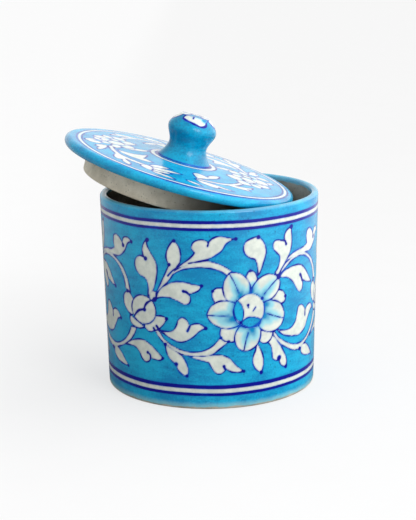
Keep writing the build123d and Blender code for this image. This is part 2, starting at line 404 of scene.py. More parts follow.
def paintVine(chart, start, amount, turn, layer):
    # one repeat of the vine; what lies behind comes first
    half = vine["lineHalf"]

    def placed(points):
        middle = np.mean(points, axis=0)
        (left, right), (low, high) = vine["leftLeaves"]
        moves = start < vine["front"] and left < middle[0] < right and low < middle[1] < high
        return loosened(points, amount, turn) + [start, 0] + (vine["leftShift"] if moves else [0, 0])

    def outlines(shapes):
        return [placed(outlineOf(strokes)) for strokes in shapes.values()]

    def lines(rows):
        for points, width in rows:
            drawLine(chart, placed(points), vine["pressure"] * width)

    def dabs(rows):
        for x, y, radius in rows:
            dab(chart, placed([(x, y)])[0], vine["pressure"] * radius)

    if layer == "leaves":
        return outlines(vine["stems"]) + outlines(vine["leaves"])
    lines(vine["leafLines"])
    dabs(vine["leafDabs"])
    layShapes(chart, outlines(vine["budBack"]), half)
    layShapes(chart, [placed(ellipseOutline(*vine["budBody"]))], half)
    layShapes(chart, outlines(vine["budFront"]), half)
    lines(vine["budLines"])
    dabs(vine["budDabs"])
    for shape in outlines(vine["sepals"]) + outlines(vine["petals"]):
        layShapes(chart, [shape], half)
    middle = vine["middle"][0]
    washRound(chart, placed([middle])[0], *vine["middleWash"])
    for vein in vine["veins"]:
        drawLine(chart, placed(vein), vine["veinHalf"])
        washAlong(chart, placed(vein[::-1]), *vine["veinWash"])
    for side in vine["shading"]:
        washAlong(chart, placed(side), *vine["sideWash"])
    # the wash stays on the white slip
    chart["wash"] *= chart["white"] < 0.2
    layShapes(chart, [placed(ellipseOutline(*vine["middle"]))], vine["middleHalf"])
    for shape in outlines(vine["crescents"]):
        layShapes(chart, [shape], vine["crescentHalf"], slip=False)
    for radius, fromAngle, toAngle, width in vine["middleArcs"]:
        drawLine(chart, placed(arcPoints(middle, radius, fromAngle, toAngle, 9)), width)
    lines(vine["flowerLines"])
    dabs(vine["flowerDabs"])


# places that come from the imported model
wallLow, wallHigh = boxOf("jar_wall")
discLow, discHigh = boxOf("lid_disc")
ringLow, ringHigh = boxOf("lid_ring")

jar = {
    "height": wallHigh[2], "rimRadius": (wallHigh[0] - wallLow[0]) / 2, "footRadius": 48.1,
    "wallThickness": 3.3, "baseThickness": 6, "footBevel": 0.8, "outerLip": 1.6, "innerLip": 1.5,
    "floorRound": 3, "columns": 600, "vineStep": 0.55, "vineLow": 12.5, "vineHigh": 80.5, "glazeInside": 4.2,
    # where the chart puts the inside, out of the painting's way
    "offChart": -90,
}


def profileLength(profile):
    return np.concatenate([[0], np.cumsum(np.hypot(*np.diff(profile, axis=0).T))])


def makeJar():
    # profile: out along the bottom, up the leaning wall, over the lip, down inside and in along the floor
    top, rim, foot = jar["height"], jar["rimRadius"], jar["footRadius"]
    bevel, outer, inner = jar["footBevel"], jar["outerLip"], jar["innerLip"]
    mouth = rim - jar["wallThickness"]

    def wallAt(height):
        height = np.atleast_1d(height)
        return np.stack([foot + (rim - foot) * height / top, height], axis=1)

    vineRows = np.arange(jar["vineLow"], jar["vineHigh"], jar["vineStep"])
    profile = joined(
        straightPoints((8, 0), (foot - bevel, 0), 4),
        arcPoints((foot - bevel, bevel), bevel, -90, 0, 4),
        wallAt(np.array([bevel, 3, 7])), wallAt(np.concatenate([[7], vineRows])),
        wallAt(np.array([vineRows[-1], 84.5, top - outer])),
        arcPoints((rim - outer, top - outer), outer, 0, 90, 7),
        straightPoints((rim - outer, top), (mouth + inner, top), 2),
        arcPoints((mouth + inner, top - inner), inner, 90, 180, 6),
        straightPoints((mouth, top - inner), (mouth, top - 12), 4),
        straightPoints((mouth, top - 12), (mouth, jar["baseThickness"] + jar["floorRound"]), 4),
        arcPoints((mouth - jar["floorRound"], jar["baseThickness"] + jar["floorRound"]), jar["floorRound"], 0, -90, 5),
        straightPoints((mouth - jar["floorRound"], jar["baseThickness"]), (6, jar["baseThickness"]), 4))
    points, angle = lathePoints(profile, jar["columns"])
    along = profileLength(profile)
    outside = np.arange(len(profile)) <= np.argmax(profile[:, 1])
    footPlace = along[np.argmax(profile[:, 1] > bevel * 0.99)] - bevel
    rimPlace = along[np.argmax(profile[:, 1])]
    glazed = np.where(outside, along - footPlace, rimPlace + jar["glazeInside"] - along)
    across = angle * rim
    chart = newChart(np.broadcast_to(across, points.shape[:2]),
                     np.broadcast_to(np.where(outside, profile[:, 1], jar["offChart"])[:, None], points.shape[:2]),
                     around=2 * pi * rim)
    chart["x"] = np.where(chart["x"] > pi * rim, chart["x"] - 2 * pi * rim, chart["x"])
    period = 2 * pi * rim / vine["repeats"]
    front, loose = vine["front"], vine["looseness"]
    turns = [(front, 0, 0.3), (front + period, loose, 1.1), (front - period, loose, 2.6)]
    leaves = []
    for start, amount, turn in turns:
        leaves += paintVine(chart, start, amount, turn, "leaves")
    layShapes(chart, leaves, vine["lineHalf"])
    for start, amount, turn in turns:
        paintVine(chart, start, amount, turn, "flowers")
    return latheObject("painted_jar", points, paintOf(chart, glazed=glazed[:, None], outside=outside[:, None] * 1.0))


lid = {
    "radius": (discHigh[1] - discLow[1]) / 2, "edgeThickness": 4.8, "crown": 1.8, "flatRadius": 13.6,
    "columns": 560, "rowStep": 0.52, "offChart": 200, "glazeUnder": 8.2,
    # the painted rings aren't quite round the lid's middle, and the outer ones are a little long
    "knobRingMiddle": (0.5, -1.7), "rimRingMiddle": (0.8, -1.2), "rimRingLength": 1.03, "awayUnder": 500,
    "ringRadius": (ringHigh[1] - ringLow[1]) / 2, "ringThickness": 4, "ringDepth": 9.6, "ringRound": 1.2,
    "ringColumns": 360, "ringInDisc": 0.3,
}
lid["middle"] = (discLow + discHigh) / 2
edgeRound = lid["edgeThickness"] / 2


def lidTilt():
    # the disc's box is (R - edge) sin t high on each side of its middle, plus the rounded edge
    return asin(((discHigh[2] - discLow[2]) / 2 - edgeRound) / (lid["radius"] - edgeRound))


tilt = lidTilt()
lidAcross = np.array([cos(tilt), 0, -sin(tilt)])
lidUp = np.array([sin(tilt), 0, cos(tilt)])


def onLid(points):
    # x runs across the lid, y stays level and h stands square to the lid, from the disc's middle
    return lid["middle"] + points[..., :1] * lidAcross + points[..., 1:2] * [0, 1, 0] + points[..., 2:] * lidUp


wreath = {
    "lineHalf": 0.34, "shift": (-0.4, 0), "turn": 182, "looseness": 0.7, "looseTurn": 1.7,
    "petalStart": 1.6, "middleWash": (1.8, 0.7), "middleHalf": 0.55,
    "leaves": {
        "wreathStem": [[(-31, -10.5), (-29.6, -18), (-26, -25.6), (-20, -31), (-13.2, -34)], [(-13, -36.4)],
                       [(-18.6, -35), (-26.4, -30), (-31.2, -20.6), (-32.9, -11.5)]],
        "twoLobe": [[(-28.4, -23), (-29.4, -28), (-29.3, -32.6), (-27.4, -35.4)], [(-25.5, -34.5)],
                    [(-24.6, -38.6), (-21.5, -42.4)], [(-21.2, -38.4), (-23, -34.4), (-25, -29)]],
        "bigLobe": [[(-28.6, -15.4), (-27, -17), (-23.5, -17.8), (-19, -17), (-15.4, -13.4)],
                    [(-15.5, -18), (-16.6, -22.4)],
                    [(-14.2, -23.6), (-11.8, -26.4)], [(-15.6, -27.4), (-20, -26), (-24.5, -23.4), (-27.8, -19.6)]],
        "edgeFork": [[(-33.4, -12.6), (-36, -12.8), (-38.4, -15.4), (-38.4, -19)], [(-37, -19.2)],
                     [(-37.4, -22.6), (-37, -26)], [(-34.6, -22.6), (-33.6, -17.6)]],
        "linkStem": [[(7.5, -33.6), (14, -32), (21, -27.6), (25.6, -20.6), (27.6, -14)], [(29.8, -14.4)],
                     [(27.8, -21.4), (22.6, -29.6), (15, -33.9), (8, -35.4)]],
        "innerLeaf": [[(8, -33.6), (6.4, -29.6), (6, -25.4), (8, -23.4)], [(10.6, -24.4), (12.4, -26)],
                      [(13, -23), (15, -19.6), (18, -17.6)], [(17.6, -22), (15.6, -26), (11, -31)]],
        "outerLeaf": [[(6.6, -35.4), (11, -36.2), (17, -36.4), (25, -38.4)], [(21.5, -39.7), (18, -39.6)],
                      [(17.4, -41.6), (14, -41.8), (9.6, -39.8)]],
        "lowTip": [[(3, -41.6), (6.4, -42), (9, -43.8), (11, -46.4)], [(7, -45.6), (4, -43.8)]],
        "rightLeaf": [[(19.4, -29.6), (23, -26.4), (28, -24.6), (30.6, -23), (33.6, -19.6)], [(33, -23.6), (31.2, -26)],
                      [(33, -28.4)], [(28.4, -29.4), (24, -29.8)]],
        "tip": [[(-36.4, -8), (-39.6, -6.6), (-43.6, -8.4)], [(-41.4, -12), (-37.2, -11.4)]],
        "gapLeaf": [[(16.6, 2.4), (20, 3.2), (24.6, 5), (28, 8.4)], [(24, 9.4), (19.6, 8), (17, 5.4)]],
        "farTip": [[(39.4, 1.2), (40.6, 4.6), (43.6, 8.6)], [(44.4, 5.4), (42.4, 2)]],
    },
    "budPetals": [
        [[(-12.6, -40), (-11.4, -43.4), (-8, -46), (-1, -47.4)], [(-3, -45), (-7, -42.8), (-10, -40.5)]],
        [[(-12.5, -37), (-8, -37), (-3.2, -39.2)], [(-6, -41.4), (-12.4, -41)]],
        [[(-13.6, -33.6), (-12, -30.4), (-8, -28.6), (-4, -30)], [(-6, -32), (-9, -34.4), (-12, -35.6)]],
        [[(-13.5, -35.5), (-9, -33.6), (-4, -33.4), (1.4, -34.6)], [(-2, -36.6), (-6, -38), (-12.5, -38)]],
        [[(-17.2, -35.8), (-15.4, -33.8), (-12.4, -34.4)], [(-11.6, -38), (-12, -42)], [(-14.6, -41), (-17, -38)]]],
    # centre, middle radius, then each petal's angle, reach and width
    "flowers": [((-30.5, -2.5), 2.7, [(152, 11.8, 8.6), (96, 11.4, 7.4), (52, 10, 6.6), (-22, 9.6, 7), (-84, 10.6, 4.6),
                                      (-142, 8, 4.6)]),
                ((32, -7.5), 2.5, [(180, 10.6, 7.4), (96, 11.4, 7.6), (48, 9, 6), (4, 10.4, 6.8), (-54, 9, 5.4),
                                   (-110, 10.4, 7.2)])],
    "dabs": [(-15.5, -13.8, 0.7), (-12, -26.2, 0.6), (-21.6, -42, 0.6), (-37, -25.6, 0.6), (-3.6, -30, 0.7),
             (1.2, -34.6, 0.6), (17.8, -17.9, 0.7), (24.6, -38.4, 0.6), (18, -39.8, 0.7), (33.4, -20, 0.6),
             (31.2, -26, 0.6), (-12.2, -34.8, 0.8), (-3.2, -39.2, 0.6), (12.4, -25.8, 0.5)],
}


def petalOutline(centre, angle, near, far, width):
    # a petal reaches from near to far along its angle and is widest past its middle
    share = np.array([0, 0.3, 0.68, 0.93, 1, 0.93, 0.68, 0.3, 0])
    side = np.array([0, 0.42, 0.5, 0.2, 0, -0.2, -0.5, -0.42, 0]) * width
    run = smoothRun(np.stack([near + share * (far - near), side], axis=1))[:-1]
    turn = np.array([[cos(angle), sin(angle)], [-sin(angle), cos(angle)]])
    return run @ turn + centre


def paintWreath(chart, turned, layer):
    half = wreath["lineHalf"]
    if layer == "leaves":
        return [turned(outlineOf(strokes)) for strokes in wreath["leaves"].values()]
    for centre, middle, petals in wreath["flowers"]:
        for angle, far, width in petals[::-1]:
            layShapes(chart, [turned(petalOutline(centre, radians(angle), wreath["petalStart"], far, width))], half)
        washRound(chart, turned(np.array([centre]))[0], middle, *wreath["middleWash"])
        layShapes(chart, [turned(ellipseOutline(centre, middle, middle))], wreath["middleHalf"])
    for strokes in wreath["budPetals"]:
        layShapes(chart, [turned(outlineOf(strokes))], half)
    for x, y, radius in wreath["dabs"]:
        dab(chart, turned(np.array([(x, y)], float))[0], radius)


def makeDisc():
    # profile: out along the flat underside, round the edge, in up the gentle rise and across the level top
    edge, radius = edgeRound, lid["radius"]
    top = edge + lid["crown"]
    inner, outer = lid["flatRadius"], radius - edge
    slope = lid["crown"] / (outer - inner)
    underRows, edgeRows = 12, 13
    rows = np.arange(outer, inner, -lid["rowStep"])
    rise = np.stack([rows, edge + (outer - rows) * slope], axis=1)
    profile = joined(
        straightPoints((6, -edge), (outer, -edge), underRows),
        arcPoints((outer, 0), edge, -90, 90, edgeRows),
        rise, straightPoints((inner, top), (5, top), 10))
    points, angle = lathePoints(profile, lid["columns"])
    x, y = points[..., 0], points[..., 1]
    above = (np.arange(len(profile)) > underRows + edgeRows // 2)[:, None]
    chart = newChart(x, np.where(above, y, lid["offChart"]))

    def firstHalf(spot):
        return np.array(spot, float) + wreath["shift"]

    def secondHalf(spot):
        # turned right round the lid and drawn a little freer
        spot = loosened(spot, wreath["looseness"], wreath["looseTurn"])
        angle = radians(wreath["turn"])
        return np.stack([spot[:, 0] * cos(angle) - spot[:, 1] * sin(angle),
                         spot[:, 0] * sin(angle) + spot[:, 1] * cos(angle)], axis=1)

    shapes = paintWreath(chart, firstHalf, "leaves") + paintWreath(chart, secondHalf, "leaves")
    layShapes(chart, shapes, wreath["lineHalf"])
    paintWreath(chart, firstHalf, "flowers")
    paintWreath(chart, secondHalf, "flowers")

    def awayFrom(middle, length=1):
        return np.where(above, np.hypot(x - middle[0], (y - middle[1]) / length), lid["awayUnder"])

    along = profileLength(profile)
    glazed = (along - along[underRows] + lid["glazeUnder"])[:, None]
    return latheObject("painted_lid", onLid(points), paintOf(
        chart, outward=awayFrom(lid["knobRingMiddle"]), outwardRim=awayFrom(lid["rimRingMiddle"], lid["rimRingLength"]),
        glazed=glazed))


def makeRing():
    # profile: up the outside, across the top, down the inside and back along the rounded bottom
    outer = lid["ringRadius"]
    inner = outer - lid["ringThickness"]
    top = -edgeRound + lid["ringInDisc"]
    bottom = -edgeRound - lid["ringDepth"]
    bend = lid["ringRound"]
    profile = joined(
        arcPoints((outer - bend, bottom + bend), bend, -90, 0, 6),
        straightPoints((outer, bottom + bend), (outer, top), 14),
        straightPoints((outer, top), (inner, top), 4),
        straightPoints((inner, top), (inner, bottom + bend), 14),
        arcPoints((inner + bend, bottom + bend), bend, 180, 270, 6),
        straightPoints((inner + bend, bottom), (outer - bend, bottom), 3))[:-1]
    points = lathePoints(profile, lid["ringColumns"])[0]
    return latheObject("lid_locating_ring", onLid(points), {}, closedProfile=True)


knob = {
    "foot": 12.4, "neck": 8.8, "head": 11.1, "top": 6.6, "height": 21, "offset": 0.8, "columns": 240,
    "neckShare": 0.31, "headShare": 0.71, "topShare": 0.975, "footInDisc": 0.3,
    # on top: a middle, petals by angle, reach and width, and a wide front petal drawn in two strokes
    "middle": ((0.2, 0.8), 2.2, 2), "petals": [(40, 9.4, 6.6), (112, 9.4, 7), (190, 11.2, 4.8), (-12, 10.6, 4.6)],
    "lineHalf": 0.4, "frontEdge": 0.25, "frontHalf": 0.55,
    "sideWash": ([(4.4, -4), (0.6, -5), (-3, -5.4)], 1.5, 1), "spotWash": ((4, -5.2), 0.4, 1.3, 1),
    "vein": [(-0.7, -5.3), (-1, -7)],
    "frontTop": [(5.6, -2.4), (0.2, -4), (-4.4, -4.6)],
    "frontSide": [(-5.5, -6.3), (-4, -8.2), (-1, -9.6), (1.4, -10.1), (3.2, -10.1), (4.8, -9.1), (5.6, -7.6),
                  (5.3, -6.2)],
}


def makeKnob():
    # profile: a waisted, rounded grip carried up from the lid's level top
    base, height = edgeRound + lid["crown"], knob["height"]
    foot, under = knob["foot"], base - knob["footInDisc"]
    side = smoothRun([(foot, base), (knob["neck"], base + knob["neckShare"] * height),
                      (knob["head"], base + knob["headShare"] * height),
                      (knob["top"], base + knob["topShare"] * height)], 30)
    profile = joined(straightPoints((4, under), (foot, under), 3), straightPoints((foot, under), (foot, base), 2), side,
                     straightPoints((knob["top"], side[-1, 1]), (0.4, base + height), 18))
    points, angle = lathePoints(profile, knob["columns"])
    along = profileLength(profile)
    fromTop = (along[-1] - along)[:, None]
    chart = newChart(fromTop * np.sin(angle), -fromTop * np.cos(angle))
    half = knob["lineHalf"]
    for angle, far, width in knob["petals"]:
        layShapes(chart, [petalOutline((0, 0), radians(angle), 1, far, width)], half)
    layShapes(chart, [ellipseOutline(*knob["middle"])], half)
    layShapes(chart, [outlineOf([knob["frontTop"], knob["frontSide"]])], knob["frontEdge"])
    drawLine(chart, knob["frontTop"][-1:] + knob["frontSide"], knob["frontHalf"])
    drawLine(chart, knob["frontTop"], knob["frontHalf"])
    washAlong(chart, *knob["sideWash"])
    washRound(chart, *knob["spotWash"])
    drawLine(chart, knob["vein"], half)
    paint = paintOf(chart, rise=points[..., 2] - base)
    return latheObject("lid_grip", onLid(points + [knob["offset"], 0, 0]), paint)


jarPiece = makeJar()
discPiece = makeDisc()
ringPiece = makeRing()
knobPiece = makeKnob()
print("shapes made")


def toned(red, green, blue):
    # a screen colour out of 255, made linear
    value = np.array([red, green, blue]) / 255
    linear = np.where(value < 0.04045, value / 12.92, ((value + 0.055) / 1.055) ** 2.4)
    return (*linear.tolist(), 1)


def isSocket(value):
    return isinstance(value, bpy.types.NodeSocket)


def feed(sockets, values):
    # each named socket gets a link or a plain value
    for key, value in values.items():
        if isSocket(value):
            value.id_data.links.new(value, sockets[key])
        else:
            sockets[key].default_value = value


def node(tree, kind, values=None, **settings):
    made = tree.nodes.new("ShaderNode" + kind)
    for key, value in settings.items():
        setattr(made, key, value)
    feed(made.inputs, values or {})
    return made


def calc(operation, *values, clamp=False):
    # the node goes into the tree of the first socket among its values
    tree = next(value.id_data for value in values if isSocket(value))
    return node(tree, "Math", dict(enumerate(values)), operation=operation, use_clamp=clamp).outputs[0]


def plus(*values):
    return reduce(lambda found, value: calc("ADD", found, value), values)


def times(*values):
    return reduce(lambda found, value: calc("MULTIPLY", found, value), values)


def most(*values):
    return reduce(lambda found, value: calc("MAXIMUM", found, value), values)


def minus(first, second):
    return calc("SUBTRACT", first, second)


def step(value, low, high, start=0, end=1):
    return node(value.id_data, "MapRange", {"Value": value, "From Min": low, "From Max": high,
                                            "To Min": start, "To Max": end}, interpolation_type="SMOOTHSTEP").outputs[0]


def blended(factor, first, second):
    return node(factor.id_data, "Mix", {0: factor, 6: first, 7: second}, data_type="RGBA").outputs[2]


def noise(place, scale, detail=2, rough=0.5, stretch=None):
    tree = place.id_data
    if stretch:
        place = node(tree, "Mapping", {"Vector": place, "Scale": stretch}).outputs[0]
    return node(tree, "TexNoise", {"Vector": place, "Scale": scale, "Detail": detail, "Roughness": rough}).outputs[0]


def waver(amount, place, *settings, **more):
    # noise about zero: amount x (noise - a half)
    return times(minus(noise(place, *settings, **more), 0.5), amount)


def coordinate(vector, axis):
    return node(vector.id_data, "SeparateXYZ", {0: vector}).outputs["XYZ".index(axis)]


def spots(place, scale, edge, rarity):
    # round dots in a few of the cells: they fade out over edge, and rarity says which cells have one
    cells = node(place.id_data, "TexVoronoi", {"Vector": place, "Scale": scale, "Randomness": 1}, feature="F1")
    chance = node(place.id_data, "SeparateColor", {0: cells.outputs["Color"]}).outputs[0]
    return times(step(cells.outputs["Distance"], *edge, 1, 0), step(chance, *rarity))


def newGroup(name, inputs, outputs):
    tree = bpy.data.node_groups.new(name, "ShaderNodeTree")
    for way, rows in (("INPUT", inputs), ("OUTPUT", outputs)):
        for kind, labels in rows.items():
            for label in labels:
                tree.interface.new_socket(label, in_out=way, socket_type="NodeSocket" + kind)
    return tree, tree.nodes.new("NodeGroupInput").outputs, tree.nodes.new("NodeGroupOutput").inputs


def ringGroup():
    # a painted ring: how deep a place is inside a band about a centre value
    tree, given, out = newGroup("paintedRing", {"Float": ["Place", "Centre", "Half Width"]}, {"Float": ["Depth"]})
    feed(out, {"Depth": minus(given["Half Width"], calc("ABSOLUTE", minus(given["Place"], given["Centre"])))})
    return tree


brushedGlaze = {
    "cloudShare": 0.38, "streakShare": 0.34, "fineShare": 0.28, "streakStretch": (0.5, 0.5, 1.9),
    "streakScale": 170, "fineScale": 1300, "toneRange": (0.39, 0.61), "rippleCloud": 0.7, "rippleStreak": 0.3,
    "speckScale": 420, "speckEdge": (0.1, 0.24), "speckRarity": (0.8, 0.84),
}


def glazeGroup():
    # brushed coloured glaze: pools, streaks, cloudy patches and small dark specks
    tree, given, out = newGroup(
        "brushedGlaze", {"Vector": ["Vector"], "Color": ["Deep", "Bright", "Speck"],
                         "Float": ["Patch Scale", "Speck Amount"]}, {"Color": ["Color"], "Float": ["Ripple"]})
    place, look = given["Vector"], brushedGlaze
    cloud = noise(place, given["Patch Scale"], 4, 0.6)
    streak = noise(place, look["streakScale"], 4, 0.65, look["streakStretch"])
    fine = noise(place, look["fineScale"], 3, 0.6)
    tone = plus(times(cloud, look["cloudShare"]), times(streak, look["streakShare"]), times(fine, look["fineShare"]))
    colour = blended(step(tone, *look["toneRange"]), given["Deep"], given["Bright"])
    specks = times(spots(place, look["speckScale"], look["speckEdge"], look["speckRarity"]), given["Speck Amount"])
    feed(out, {"Color": blended(specks, colour, given["Speck"]),
               "Ripple": plus(times(cloud, look["rippleCloud"]), times(streak, look["rippleStreak"]))})
    return tree


brushwork = {
    # how far an edge trembles, and over what depth a shape's edge, the ink's halo and a line come in, in mm
    "tremble": 0.28, "lineTremble": 0.8, "edge": (-0.14, 0.14), "halo": (-0.75, 0.05, 0, 0.3), "line": (-0.11, 0.13),
    # the brush's press makes the ink thin or full
    "press": 1.9, "fullInk": (-0.2, 0.3), "slipPatches": (0.32, 0.68),
    # the wash is patchy; its first part turns the slip pale blue and its second part full blue
    "washPatches": (0.25, 0.7, 0.82, 1.08), "paleWash": (0.03, 0.36), "fullWash": (0.3, 0.92),
    "slipRelief": 0.6, "lineRelief": 0.5,
}


def brushGroup():
    # white slip, thin blue wash and dark outline over a ground colour; distances are in millimetres
    tree, given, out = newGroup(
        "brushwork", {"Vector": ["Vector"], "Float": ["White", "Line", "Wash"],
                      "Color": ["Ground", "Slip", "Slip Shade", "Wash Tone", "Thin Wash", "Ink", "Thin Ink"]},
        {"Color": ["Color"], "Float": ["Relief"]})
    place, look = given["Vector"], brushwork
    tremble = waver(look["tremble"], place, 700, 2, 0.6)
    white = step(plus(given["White"], tremble), *look["edge"], 1, 0)
    slip = blended(step(noise(place, 260, 3, 0.6), *look["slipPatches"]), given["Slip Shade"], given["Slip"])
    washed = calc("MULTIPLY", given["Wash"], step(noise(place, 300), *look["washPatches"]), clamp=True)
    slip = blended(step(washed, *look["paleWash"]), slip, given["Thin Wash"])
    slip = blended(step(washed, *look["fullWash"]), slip, given["Wash Tone"])
    colour = blended(white, given["Ground"], slip)
    depth = plus(given["Line"], times(tremble, look["lineTremble"]))
    colour = blended(step(depth, *look["halo"]), colour, given["Thin Ink"])
    pressed = plus(depth, waver(look["press"], place, 120, 3, 0.6))
    ink = blended(step(pressed, *look["fullInk"]), given["Thin Ink"], given["Ink"])
    line = step(depth, *look["line"])
    feed(out, {"Color": blended(line, colour, ink),
               "Relief": plus(times(white, look["slipRelief"]), times(line, look["lineRelief"]))})
    return tree


bareClay = {
    "cloudScale": 90, "grainScale": 1500, "cloudRange": (0.34, 0.66), "grainShade": 0.35,
    "pitScale": 900, "pitEdge": (0.12, 0.34), "pitRarity": (0.66, 0.72),
    "grainHeight": 0.6, "cloudHeight": 0.8, "pitDepth": 0.8,
}


def clayGroup():
    # bare gritty paste: cloudy tone, fine grain and dark pits
    tree, given, out = newGroup(
        "bareClay", {"Vector": ["Vector"], "Color": ["Pale", "Shade", "Grit"], "Float": ["Grit Amount"]},
        {"Color": ["Color"], "Float": ["Height"]})
    place, look = given["Vector"], bareClay
    cloud = noise(place, look["cloudScale"], 5, 0.65)
    grain = noise(place, look["grainScale"], 3, 0.7)
    pit = spots(place, look["pitScale"], look["pitEdge"], look["pitRarity"])
    colour = blended(step(cloud, *look["cloudRange"]), given["Shade"], given["Pale"])
    colour = blended(times(pit, given["Grit Amount"]), colour, given["Grit"])
    height = plus(times(grain, look["grainHeight"]), times(cloud, look["cloudHeight"]))
    feed(out, {"Color": blended(times(grain, look["grainShade"]), colour, given["Shade"]),
               "Height": minus(height, times(pit, look["pitDepth"]))})
    return tree


groups = {"ring": ringGroup(), "glaze": glazeGroup(), "brush": brushGroup(), "clay": clayGroup()}


def use(tree, group, values):
    made = tree.nodes.new("ShaderNodeGroup")
    made.node_tree = groups[group]
    feed(made.inputs, values)
    return made.outputs


def newMaterial(name):
    material = bpy.data.materials.new(name)
    material.use_nodes = True
    tree = material.node_tree
    tree.nodes.clear()
    place = tree.nodes.new("ShaderNodeTexCoord").outputs["Object"]
    shader = node(tree, "BsdfPrincipled")
    node(tree, "OutputMaterial", {"Surface": shader.outputs[0]})
    return material, tree, place, shader.inputs


def attribute(tree, name):
    return node(tree, "Attribute", attribute_name=name).outputs["Fac"]


def rings(tree, place, rows):
    return [use(tree, "ring", {"Place": place, "Centre": centre, "Half Width": half})["Depth"]
            for centre, half in rows]


def bump(tree, height, distance):
    return node(tree, "Bump", {"Height": height, "Strength": 0.6, "Distance": distance}).outputs[0]


blueGlaze = {
    "Deep": toned(16, 132, 186), "Bright": toned(26, 177, 219), "Speck": toned(4, 84, 126), "Speck Amount": 0.5,
}
paints = {
    "Slip": toned(224, 230, 220), "Slip Shade": toned(204, 212, 204), "Wash Tone": toned(0, 132, 186),
    "Thin Wash": toned(150, 211, 223), "Ink": toned(0, 6, 138), "Thin Ink": toned(0, 78, 184),
}
greyPaste = {
    "Pale": toned(206, 202, 188), "Shade": toned(164, 160, 146), "Grit": toned(84, 84, 80), "Grit Amount": 0.5,
}
# a dark tone for painted shade: laid on the bare paste deep inside the jar and on the ring's side in the mouth
paintedShadeTone = toned(42, 40, 37)
finish = {
    "shine": 0.3, "ior": 1.5, "roughness": (0.12, 0.22), "bareRoughness": 0.7, "waviness": 0.9, "paintRelief": 0.06,
    "bareRelief": 0.35, "bumpDistance": 0.0005,
}


def painting(tree, place, ground, lines, whites=()):
    # brushwork over the ground: the drawn shapes together with the painted rings
    white = times(most(times(attribute(tree, "white"), -1), *whites), -1)
    return use(tree, "brush", {"Vector": place, "Ground": ground, "White": white, "Wash": attribute(tree, "wash"),
                               "Line": most(attribute(tree, "line"), *lines), **paints})


def finishGlaze(tree, shader, place, painted, ground, bare=None, paintedShade=None, shine=finish["shine"]):
    # gloss, gentle waviness and, where the glaze stops, bare paste, darkened by painted shade where a shade mask is
    # given
    colour, rough = painted["Color"], step(noise(place, 120, 3, 0.6), 0.3, 0.7, *finish["roughness"])
    height = plus(times(ground["Ripple"], finish["waviness"]), times(painted["Relief"], finish["paintRelief"]))
    if bare:
        clay = use(tree, "clay", {"Vector": place, **greyPaste})
        # painted shade: the bare paste is blended towards the dark tone by the shade mask
        paste = blended(paintedShade, clay["Color"], paintedShadeTone) if paintedShade else clay["Color"]
        colour = blended(bare, colour, paste)
        rough = calc("ADD", rough, times(bare, finish["bareRoughness"]), clamp=True)
        height = plus(times(height, minus(1, bare)), times(clay["Height"], bare, finish["bareRelief"]))
    feed(shader, {"Base Color": colour, "Roughness": rough, "Normal": bump(tree, height, finish["bumpDistance"]),
                  "IOR": finish["ior"], "Specular IOR Level": shine})


jarPaint = {
    # each ring's middle height and half its width, in mm; a white ring lies between two inked ones
    "rings": [(84.2, 0.74), (81.1, 0.68), (10.3, 0.92), (6.8, 0.72)], "whiteRings": [(82.65, 1), (8.55, 1.05)],
    "ringWander": 1.1, "glaze": {**blueGlaze, "Patch Scale": 38}, "thinGlaze": toned(176, 222, 216),
    "edgeWander": 2.4, "bareEdge": (0.7, 1.2, 1, 0), "thinFoot": (0.6, 3.8, 0.6, 0), "thinLip": (88, 89.3, 0, 0.26),
    # painted shade inside: the bare paste darkens from 6 mm to 22 mm below the inside glaze's edge
    "paintedInsideShade": (-22, -6, 0.85, 0.2), "awayInside": 500,
}


def jarMaterial():
    material, tree, place, shader = newMaterial("painted_glaze_jar")
    wander = waver(jarPaint["ringWander"], place, 22, 2, 0.5, stretch=(1, 1, 0.2))
    inside = minus(1, attribute(tree, "outside"))
    height = plus(times(coordinate(place, "Z"), 1 / mm), wander, times(inside, jarPaint["awayInside"]))
    ground = use(tree, "glaze", {"Vector": place, **jarPaint["glaze"]})
    glazed = attribute(tree, "glazed")
    reach = plus(glazed, waver(jarPaint["edgeWander"], place, 130, 4, 0.6))
    thin = most(step(reach, *jarPaint["thinFoot"]), step(height, *jarPaint["thinLip"]))
    painted = painting(tree, place, blended(thin, ground["Color"], jarPaint["thinGlaze"]),
                       rings(tree, height, jarPaint["rings"]), rings(tree, height, jarPaint["whiteRings"]))
    # the bare paste inside the jar gets painted shade, darker deeper down
    finishGlaze(tree, shader, place, painted, ground, bare=step(reach, *jarPaint["bareEdge"]),
                paintedShade=times(inside, step(glazed, *jarPaint["paintedInsideShade"])))
    return material


lidPaint = {
    # rings near the rim and round the knob: the middle's distance from the lid's centre and half the width, in mm
    "rimRings": [(47.3, 0.32), (49.7, 0.32)], "rimWhite": [(48.5, 0.56)],
    "knobRings": [(12.7, 0.75), (15.7, 0.4)], "knobWhite": [(14.5, 0.95)],
    "ringWander": 0.7, "glaze": {**blueGlaze, "Patch Scale": 46}, "edgeWander": 1.6, "bareEdge": (-0.4, 0.1, 1, 0),
}


def lidMaterial():
    material, tree, place, shader = newMaterial("painted_glaze_lid")
    wander = waver(lidPaint["ringWander"], place, 30, 2, 0.5)
    nearRim, nearKnob = plus(attribute(tree, "outwardRim"), wander), plus(attribute(tree, "outward"), wander)
    ground = use(tree, "glaze", {"Vector": place, **lidPaint["glaze"]})
    painted = painting(tree, place, ground["Color"],
                       rings(tree, nearRim, lidPaint["rimRings"]) + rings(tree, nearKnob, lidPaint["knobRings"]),
                       rings(tree, nearRim, lidPaint["rimWhite"]) + rings(tree, nearKnob, lidPaint["knobWhite"]))
    reach = plus(attribute(tree, "glazed"), waver(lidPaint["edgeWander"], place, 160, 4, 0.6))
    finishGlaze(tree, shader, place, painted, ground, bare=step(reach, *lidPaint["bareEdge"]))
    return material


